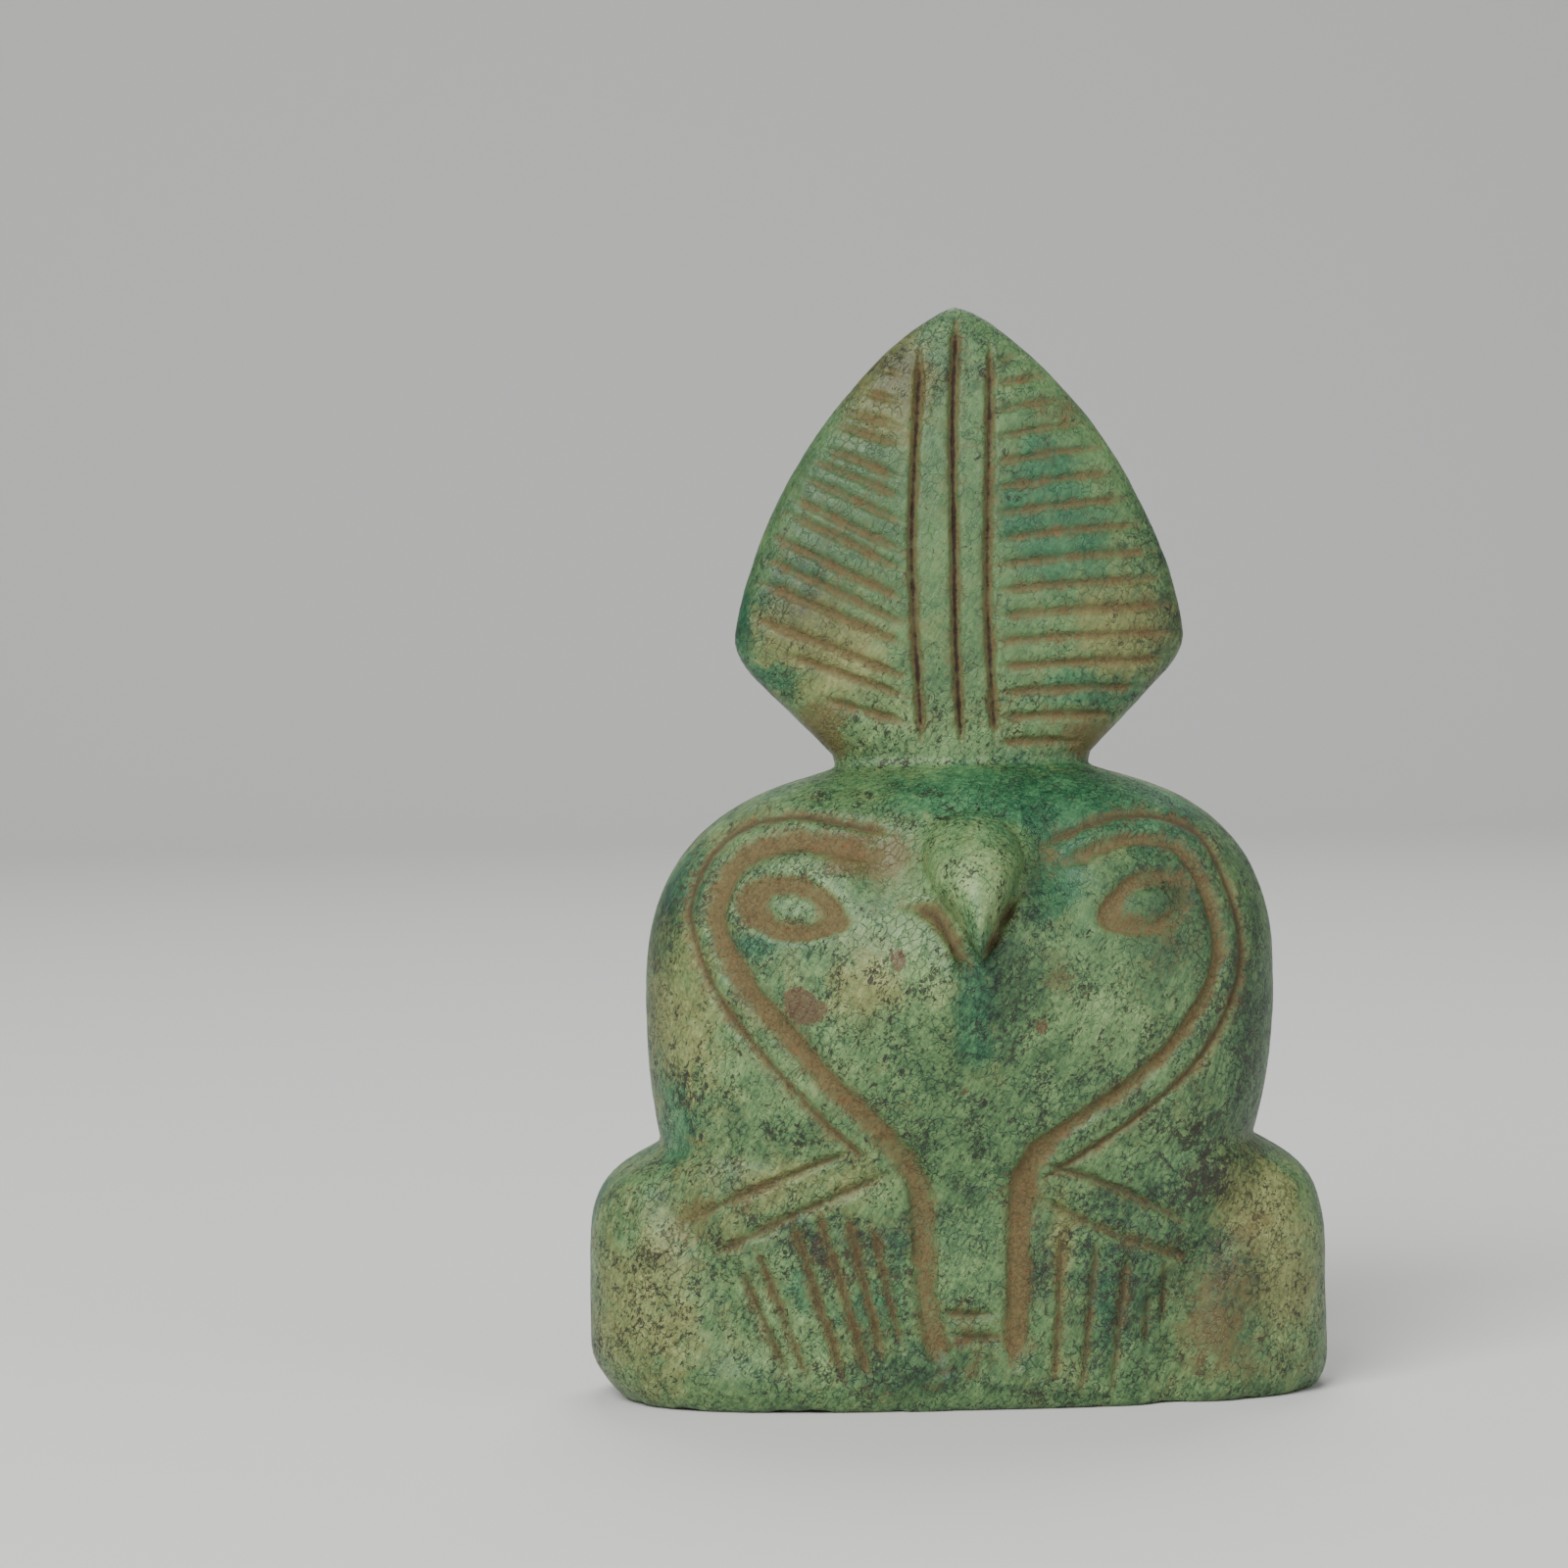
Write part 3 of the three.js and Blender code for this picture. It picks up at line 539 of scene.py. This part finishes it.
# Patches where the front of the stone is paler, yellower, bluer, deeper, blotched, rusty or earthier than
# the rest, or calmer in its grain. Each has its place across and up, how far it reaches across and up, in
# millimetres, and its strength where that isn't 1.
patches = {
    "pale": [
        # The two spots on the bill, and those at (-6, 55) and (-4, 50) left of the throat ridge, are partly
        # paler stone and partly painted light on faces lit from the left
        (0.9, 63, 3.6, 7), (1, 64, 4.5, 7, 1.3), (-13, 52, 9, 8, 0.75), (-31, 45, 5, 13, 0.8),
        (-37, 14, 9, 10), (39, 16, 6, 10), (15, 48, 7, 8), (-14, 87, 6, 4, 0.7), (-19, 27, 8, 3),
        (-24, 7, 8, 3, 0.6), (-18, 62, 3, 2), (0, 80, 14, 2.5), (2, 58, 2.5, 4), (-6, 55, 2.5, 7, 0.8),
        (-28, 68, 5, 2), (-2, 100, 3, 7, 0.5), (13, 92, 7, 6, 0.5), (-22, 13, 3, 5, 0.5),
        (-4, 50, 2, 3, 0.4), (30, 35, 4, 6, 0.3), (-20, 71, 5, 2, 0.8),
    ],
    "yellow": [
        (-34, 44, 6, 14), (-38, 12, 8, 12), (38, 14, 6, 10), (-12, 50, 5, 5), (-7, 121, 5, 6, 1.8),
        (-20, 27, 8, 4, 0.7), (34, 24, 5, 5), (-14, 88, 7, 5), (20, 92, 7, 6), (11, 20, 1.5, 6),
        (-18, 92, 5, 4),
    ],
    "teal": [
        # The first spot, right of the throat ridge below the beak, is painted shade on the ridge's unlit
        # flank
        (0.6, 48, 3.2, 9), (14, 71.5, 12, 4), (-33, 63, 4, 5), (-34, 33, 3, 6), (-25, 55, 4, 1.8),
        (-10, 15, 3, 9, 0.5), (0, 72, 10, 3), (11, 63, 3.5, 6), (-22, 86, 5, 2), (24, 68, 6, 4),
        (16, 84, 8, 2.5), (15.5, 13, 2.5, 6, 0.7), (11, 108, 5, 8), (-20, 16, 2, 6, 0.6),
        (-25, 94, 1.6, 6), (-20, 73, 7, 2, 0.5), (13, 102, 6, 5), (-14, 12, 4, 7, 0.3),
    ],
    "deep": [
        # The spots at (4.5, 48) and (3, 55), right of and below the beak's tip, are painted shadow of the
        # beak in the hollow beside the throat
        (28, 33, 7, 9, 0.5), (34, 45, 3, 14), (-26.5, 94, 3, 10), (26.5, 98, 3, 14), (18, 14, 5, 8, 0.8),
        (-6, 4.5, 6, 3), (24, 60, 7, 6), (-36, 60, 3, 10), (4.5, 48, 4, 5), (-15, 21, 8, 2),
        (3, 55, 2.5, 2), (-12, 108, 9, 10, 0.55), (24, 53, 5, 4, 0.6), (8, 62, 1.2, 6),
        (-5, 122, 5, 6, 1.1), (-18, 97, 5, 7), (31, 13, 4, 8, 1.4), (19, 25, 4, 2), (7, 17, 1.5, 8),
        (-14, 12, 2, 7, 0.5), (19, 20, 5, 5, 0.7),
    ],
    "blotched": [
        (28, 30, 5, 6, 1.5), (27.6, 25, 3, 2.5), (33, 42, 3, 8), (-15, 20, 6, 3), (10, 21, 1.5, 1.5),
        (-33, 38, 6, 7, 0.8), (0, 70, 5, 1.5), (-38, 14, 7, 9, 0.5), (-16, 12, 7, 9, 0.8),
        (17, 14, 6, 10, 0.8), (-12, 50, 8, 8, 0.2),
    ],
    "calm": [
        (-2, 104, 9, 22), (14, 104, 10, 20), (-14, 112, 8, 8), (-16, 98, 9, 12), (22, 57, 7, 6),
        (12, 64, 4, 6), (-8, 63, 3, 5),
    ],
    "rusty": [
        (-18.4, 47.4, 2.6, 1.9), (-8.2, 53.8, 1.0, 1.6), (8.4, 45.4, 1.0, 1.2), (-0.3, 38.1, 0.8, 0.8),
        (-19.8, 49.4, 1.6, 1.2), (11.5, 32.5, 0.5, 0.5), (29, 5, 1.1, 1, 0.6), (-1.5, 8.5, 2.2, 2.5, 0.55),
    ],
    "earthy": [
        (-18, 79, 5, 3), (17, 79, 5, 3), (-8, 65, 3.5, 4.5), (-13, 67, 4, 2), (10, 51.4, 2, 3),
        (35, 21, 3, 3, 0.6), (30, 13, 6, 8, 0.85), (28, 7, 6, 5, 0.6), (34, 4, 6, 2, 0.5),
        (-32.5, 23, 2.6, 3.5), (-7, 121, 4, 4, 0.5), (7, 26, 3, 3), (-9, 3, 6, 2.5, 0.6),
        (13.5, 117, 2.5, 2.5), (10, 65, 2, 3), (-1, 9, 3, 4, 0.8), (5, 7, 4, 4, 0.6),
        (-17, 100, 7, 7, 0.25), (-15, 82, 4, 2), (-11, 107, 3, 5, 0.4), (-13, 64.5, 5, 2),
        (24, 55, 5, 5, 0.7), (-27, 24, 4, 2, 0.6), (5, 81, 8, 2, 0.5), (-14.5, 77.5, 2.5, 2),
        (16, 77.5, 2.5, 2),
    ],
}
most = 2.2
for name, spots in patches.items():
    amount = np.zeros(len(points))
    for across, height, half_width, half_height, *strength in spots:
        spot = bell(x - across * mm, half_width * mm) * bell(z - height * mm, half_height * mm)
        amount += math.prod(strength) * spot
    amounts[name] = np.clip(amount, 0, most) * facing

# The sides and the back don't face the chisel, so their colours drift in wide soft clouds of their own
for name, seed in [("pale", 31), ("yellow", 37), ("teal", 41), ("deep", 43), ("earthy", 47)]:
    drift = grain(points, 16 * mm, seed) + 0.5 * grain(points, 5 * mm, seed + 1)
    amounts[name] += np.clip(1.8 * drift - 0.15, 0, 0.9) * (1 - facing)

# The sheet takes its place round the block with these amounts in its layers, and is closed into one skin
layers = {name: sheet.verts.layers.float.new(name) for name in amounts}
for i, vertex in enumerate(sheet.verts):
    vertex.co = points[i]
    for name, amount in amounts.items():
        vertex[layers[name]] = amount[i]
merge_reach = 0.004 * mm
bmesh.ops.remove_doubles(sheet, verts=sheet.verts, dist=merge_reach)
bmesh.ops.holes_fill(sheet, edges=[e for e in sheet.edges if e.is_boundary], sides=0)
bmesh.ops.triangulate(sheet, faces=[f for f in sheet.faces if len(f.verts) > 4])
bmesh.ops.recalc_face_normals(sheet, faces=sheet.faces)
for face in sheet.faces:
    in_underside = face.normal.z <= -0.9 and face.calc_center_median().z <= 0.2 * mm
    face.smooth = not in_underside
bust_mesh = bpy.data.meshes.new("carved_bust")
sheet.to_mesh(bust_mesh)
sheet.free()
bust = bpy.data.objects.new("carved_bust", bust_mesh)
bpy.context.collection.objects.link(bust)


class Vein:
    """A value in the stone's shader, so that sums of values can be written out."""

    tree = None

    def __init__(self, socket):
        self.socket = socket

    @classmethod
    def node(cls, kind, settings=None, inputs=None, output=0):
        """A new node with its settings and its inputs, and the value that leaves it."""
        node = cls.tree.nodes.new(kind)
        for name, value in (settings or {}).items():
            if name == "stops":
                ramp = node.color_ramp
                while len(ramp.elements) < len(value):
                    ramp.elements.new(0.5)
                for element, (position, colour) in zip(ramp.elements, value):
                    element.position = position
                    element.color = colour
            else:
                setattr(node, name, value)
        for name, value in (inputs or {}).items():
            if isinstance(value, Vein):
                cls.tree.links.new(value.socket, node.inputs[name])
            else:
                node.inputs[name].default_value = value
        return cls(node.outputs[output]) if node.outputs else None

    @staticmethod
    def maths(operation, first, second):
        return Vein.node("ShaderNodeMath", {"operation": operation}, {0: first, 1: second})

    def __add__(self, other):
        return Vein.maths("ADD", self, other)

    def __radd__(self, other):
        return Vein.maths("ADD", other, self)

    def __sub__(self, other):
        return Vein.maths("SUBTRACT", self, other)

    def __rsub__(self, other):
        return Vein.maths("SUBTRACT", other, self)

    def __mul__(self, other):
        return Vein.maths("MULTIPLY", self, other)

    def __rmul__(self, other):
        return Vein.maths("MULTIPLY", other, self)

    def swing(self, amount):
        """Noise from 0 to 1, turned into a swing to both sides of nothing."""
        return (self - 0.5) * amount

    def between(self, low, high):
        """0 below one value and 1 above the other, smoothly."""
        settings = {"interpolation_type": "SMOOTHSTEP"}
        inputs = {"Value": self, "From Min": low, "From Max": high, "To Min": 0.0, "To Max": 1.0}
        return Vein.node("ShaderNodeMapRange", settings, inputs)

    def over(self, colour, ground):
        """This share of a colour laid over a ground."""
        return Vein.node("ShaderNodeMix", {"data_type": "RGBA"}, {0: self, 6: ground, 7: colour}, output=2)

    def tint(self, *stops):
        """The colour for this value on a scale of colours, spaced evenly from 0 to 1."""
        places = [(i / (len(stops) - 1), colour) for i, colour in enumerate(stops)]
        return Vein.node("ShaderNodeValToRGB", {"stops": places}, {0: self})


# The stone is mottled from deep to pale green, yellower here and bluer there, with a slanting fibre, fine
# dark specks and a net of hair cracks. What stands proud is rubbed to a waxy gloss, and matt brown earth
# lies in what is cut. Every pattern is drawn in the stone itself, in millimetres.
studio_gain = 0.6
darkest = 0.004
green_stone = bpy.data.materials.new("green_stone")
green_stone.use_nodes = True
green_stone.node_tree.nodes.clear()
Vein.tree = green_stone.node_tree
here = Vein.node("ShaderNodeTexCoord", output="Object")
place = Vein.node("ShaderNodeVectorMath", {"operation": "SCALE"}, {0: here, "Scale": 1 / mm})


def pigment(red, green, blue, strength=1.38):
    """The colour that shows on a screen as these, 0 to 255 a channel, in this studio's washed-out light."""
    linear = [((c / 255 + 0.055) / 1.055) ** 2.4 for c in (red, green, blue)]
    grey = sum(linear) / 3
    return (*(max(darkest, studio_gain * (grey + strength * (c - grey))) for c in linear), 1.0)


def turned(long, lean, shift):
    """The place on the stone, for a pattern drawn out along a line: how many times, at how many degrees."""
    inputs = {
        "Vector": place, "Scale": (long, 1, 1), "Rotation": (0, -math.radians(lean), 0),
        "Location": (shift, 2 * shift, -shift),
    }
    return Vein.node("ShaderNodeMapping", {"vector_type": "TEXTURE"}, inputs)


def cloud(size, detail=4.0, rough=0.55, warp=0.0, long=1.0, lean=0, shift=0.0):
    """Noise from 0 to 1 with features so many millimetres across."""
    inputs = {
        "Vector": turned(long, lean, shift), "Scale": 1 / size, "Detail": detail, "Roughness": rough,
        "Distortion": warp,
    }
    return Vein.node("ShaderNodeTexNoise", inputs=inputs)


def cracks(size, long, lean, width):
    """1 on the hair cracks between cells so many millimetres across, 0 inside the cells."""
    bends = Vein.node("ShaderNodeTexNoise", inputs={"Vector": place, "Scale": 1.1, "Detail": 2.0}, output=1)
    bent = Vein.node("ShaderNodeVectorMath", {"operation": "ADD"}, {0: turned(long, lean, 4.0), 1: bends})
    inputs = {"Vector": bent, "Scale": 1 / size}
    edge = Vein.node("ShaderNodeTexVoronoi", {"feature": "DISTANCE_TO_EDGE"}, inputs)
    return 1 - edge.between(0, width)


def layer(name):
    return Vein.node("ShaderNodeAttribute", {"attribute_name": name}, output="Fac")


# How light the stone is, from 0 to 1: wide clouds, mottling, small flakes and two slanting fibres
calm = layer("calm")
coarse = 1 - calm * 0.5
wide = cloud(11, detail=3, warp=0.5)
mottle = cloud(2.8, detail=6, rough=0.66, warp=0.5, long=1.4, lean=60)
flakes = cloud(1.1, detail=5, rough=0.7, warp=0.9, long=1.7, lean=58, shift=17.0).between(0.44, 0.55)
fibre = cloud(0.42, detail=4, rough=0.68, warp=0.3, long=3.4, lean=62).between(0.38, 0.62)
cross_fibre = cloud(0.5, detail=3, rough=0.6, long=3.0, lean=-35, shift=7.0).between(0.35, 0.65)
cracked_areas = cloud(3.5, detail=2, shift=11.0).between(0.38, 0.55)
crackle = cracks(1.0, long=1.5, lean=50, width=0.09) * cracked_areas
middle_tone = 0.56
tone = middle_tone + wide.swing(0.45) + (mottle.swing(0.8) + flakes.swing(0.13)) * coarse
tone = tone + (fibre.swing(0.2) + cross_fibre.swing(0.12)) * coarse
# The pale and deep layers hold painted light and shade beside the beak as well as the stone's own patches
tone = tone + layer("pale") * 0.17 - layer("deep") * 0.25 - crackle * coarse * 0.3

# Three greens on that scale, each from its deep to its pale end, in patches
jade = tone.tint(
    pigment(22, 40, 28), pigment(56, 84, 58), pigment(96, 125, 88), pigment(130, 156, 112),
    pigment(166, 188, 142))
straw = tone.tint(
    pigment(40, 44, 28), pigment(84, 90, 60), pigment(122, 128, 88), pigment(150, 156, 112),
    pigment(184, 190, 144))
sea = tone.tint(
    pigment(12, 38, 28), pigment(36, 76, 54), pigment(64, 106, 76), pigment(100, 142, 104),
    pigment(140, 174, 132))
patchy = cloud(4.5, detail=6, rough=0.7, warp=0.8, shift=3.0)
yellowness = layer("yellow") * 0.6 + patchy.swing(1.6) + cloud(16, detail=2, shift=5.0) * 0.4
blueness = layer("teal") * 0.75 + patchy.swing(-1.3) + cloud(14, detail=2, shift=9.0) * 0.3
colour = yellowness.between(0.2, 0.8).over(straw, jade)
colour = blueness.between(0.28, 0.78).over(sea, colour)

# Dark specks, spots and blots in the stone, gathered in some places and scarce in others
gathered = cloud(3.4, detail=4, rough=0.6, shift=13.0).swing(0.65) - calm * 0.1
speck_cloud = cloud(0.38, detail=3, rough=0.55, warp=0.8, long=1.6, lean=50, shift=2.0)
specks = (speck_cloud + gathered).between(0.605, 0.64)
spot_cloud = cloud(0.85, detail=4, rough=0.65, warp=1.0, long=1.3, lean=60, shift=6.0)
spots = (spot_cloud + layer("blotched") * 0.045 + gathered * 0.5).between(0.615, 0.645)
blot_cloud = cloud(1.9, detail=5, rough=0.72, warp=0.6, long=1.2, lean=60, shift=19.0)
blots = (blot_cloud + layer("blotched") * 0.1 - calm * 0.1).between(0.645, 0.685)
colour = (specks * 0.82).over(pigment(50, 54, 38, strength=1.2), colour)
colour = (spots * 0.9).over(pigment(46, 46, 34, strength=1.2), colour)
colour = (blots * 0.85).over(pigment(46, 46, 32), colour)

# A thin film of earth over some places, a few rusty marks, and the earth in the cuts: crumbly, brown with
# reddish grains, and black in the depth of the crown's long cuts. Painted shade darkens the middle of each
# cut and the eyes' rims.
grit = cloud(0.38, detail=4, rough=0.7, shift=1.0)
crumbs = cloud(1.7, detail=6, rough=0.78, warp=0.4, long=1.5, lean=50, shift=8.0) - 0.5
embers = cloud(0.6, detail=4, rough=0.7, shift=21.0).between(0.58, 0.66)
film = (layer("earthy") * 0.8 + crumbs * 2.4 + grit.swing(0.6)).between(0.2, 1.1)
rust = (layer("rusty") + crumbs * 1.3).between(0.4, 0.6)
filling = (layer("earth") + grit.swing(0.8) + crumbs * 1.6).between(0.16, 1.0)
# Painted shade, darkest down the middle of each cut and round the eyes' rims
shade = (layer("cut") + grit.swing(0.9)).between(0.45, 1.05)
soot = (layer("black") + cloud(1.6, detail=5, rough=0.7).swing(1.6)).between(0.35, 0.75)
dry_earth, damp_earth = pigment(138, 117, 82, strength=1.15), pigment(102, 87, 59, strength=1.15)
earth_colour = grit.between(0.3, 0.7).over(dry_earth, damp_earth)
earth_colour = (embers * 0.6).over(pigment(158, 104, 70, strength=1.2), earth_colour)
colour = (film * 0.75).over(pigment(118, 101, 64, strength=1.2), colour)
colour = (rust * 0.75).over(pigment(106, 74, 56, strength=1.2), colour)
colour = (filling * 0.88).over(earth_colour, colour)
# The painted shade laid over the middle of the cuts and the eyes' rims
colour = (shade * 0.5).over(pigment(60, 52, 34, strength=1), colour)
colour = soot.over(pigment(46, 36, 20, strength=1.8), colour)

# The waxy rub, duller over earth and specks, and the fine relief of fibre, grit, specks and cracks
waxy = 0.43
roughness = waxy + filling * 0.4 + specks * 0.12 + cloud(1.2, shift=15.0).swing(0.15)
relief = (fibre + cross_fibre) * 0.2 + grit * 0.3 - specks * 0.5 - spots * 0.5 - crackle * 0.5
bump = Vein.node("ShaderNodeBump", inputs={"Strength": 0.6, "Distance": 0.18 * mm, "Height": relief})
shader = Vein.node("ShaderNodeBsdfPrincipled", inputs={
    "Base Color": colour, "Roughness": roughness, "Normal": bump, "IOR": 1.5, "Specular IOR Level": 0.45})
Vein.node("ShaderNodeOutputMaterial", inputs={"Surface": shader})
bust_mesh.materials.append(green_stone)
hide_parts("falcon_bust")
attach(bust, "root")

# The studio is a pale sweep of paper that runs from the floor up behind the bust, in the soft light of a
# wide window from the left, a bounce from the right and a weak light from above.
paper_half = 2.0
paper_shift = 0.8
wall_height = 2.5
bend_radius = 0.5
paper = bmesh.new()
bmesh.ops.create_grid(paper, x_segments=1, y_segments=1, size=paper_half)
bmesh.ops.translate(paper, verts=paper.verts, vec=(0, -paper_shift, 0))
far_edge = [e for e in paper.edges if all(v.co.y > 1 for v in e.verts)]
bend_middle = (0, paper_half - paper_shift, bend_radius)
bmesh.ops.spin(paper, geom=far_edge, cent=bend_middle, axis=(1, 0, 0), angle=math.pi / 2, steps=24)
top_edge = [e for e in paper.edges if all(v.co.z > bend_radius - 1 * mm for v in e.verts)]
wall = bmesh.ops.extrude_edge_only(paper, edges=top_edge)
wall_top = [part for part in wall["geom"] if isinstance(part, bmesh.types.BMVert)]
bmesh.ops.translate(paper, verts=wall_top, vec=(0, 0, wall_height))
bmesh.ops.recalc_face_normals(paper, faces=paper.faces)
for face in paper.faces:
    face.smooth = True
paper_mesh = bpy.data.meshes.new("paper_sweep")
paper.to_mesh(paper_mesh)
paper.free()
sweep = bpy.data.objects.new("paper_sweep", paper_mesh)
bpy.context.collection.objects.link(sweep)
pale_paper = bpy.data.materials.new("pale_paper")
pale_paper.use_nodes = True
paper_shader = pale_paper.node_tree.nodes["Principled BSDF"]
paper_shader.inputs["Base Color"].default_value = (0.72, 0.71, 0.69, 1)
paper_shader.inputs["Roughness"].default_value = 0.9
paper_mesh.materials.append(pale_paper)

world = bpy.data.worlds.new("soft_room")
world.use_nodes = True
room_light = world.node_tree.nodes["Background"]
room_light.inputs["Color"].default_value = (0.9, 0.95, 1.0, 1)
room_light.inputs["Strength"].default_value = 0.28
bpy.context.scene.world = world

aim = Vector((0, 0, 0.065))
for name, stand, size, power in [
    ("window", (-0.6, -1.0, 0.9), 0.8, 26.5),
    ("bounce", (1.0, -0.9, 0.4), 1.0, 6),
    ("top_light", (0.1, 0.7, 1.2), 0.6, 8),
]:
    lamp = bpy.data.lights.new(name, "AREA")
    lamp.size = size
    lamp.energy = power
    holder = bpy.data.objects.new(name, lamp)
    holder.location = stand
    holder.rotation_euler = (aim - Vector(stand)).to_track_quat("-Z", "Y").to_euler()
    bpy.context.collection.objects.link(holder)

# The camera looks from the photograph's side: almost level, a little from the left, at arm's length, and
# turned by the degree that the bust leans there.
target = Vector((-0.020, 0, 0.0732))
azimuth, elevation = math.radians(-2.5), math.radians(2.5)
roll = math.radians(0.9)
distance = 0.6
frame_width = 0.1882
sensor_width = 36
level = math.cos(elevation)
away = Vector((math.sin(azimuth) * level, -math.cos(azimuth) * level, math.sin(elevation)))
lens = bpy.data.cameras.new("camera")
lens.sensor_width = sensor_width
lens.lens = sensor_width * distance / frame_width
camera = bpy.data.objects.new("camera", lens)
turn = away.to_track_quat("Z", "Y").to_matrix() @ Matrix.Rotation(-roll, 3, "Z")
camera.matrix_world = Matrix.Translation(target + distance * away) @ turn.to_4x4()
bpy.context.collection.objects.link(camera)
bpy.context.scene.camera = camera
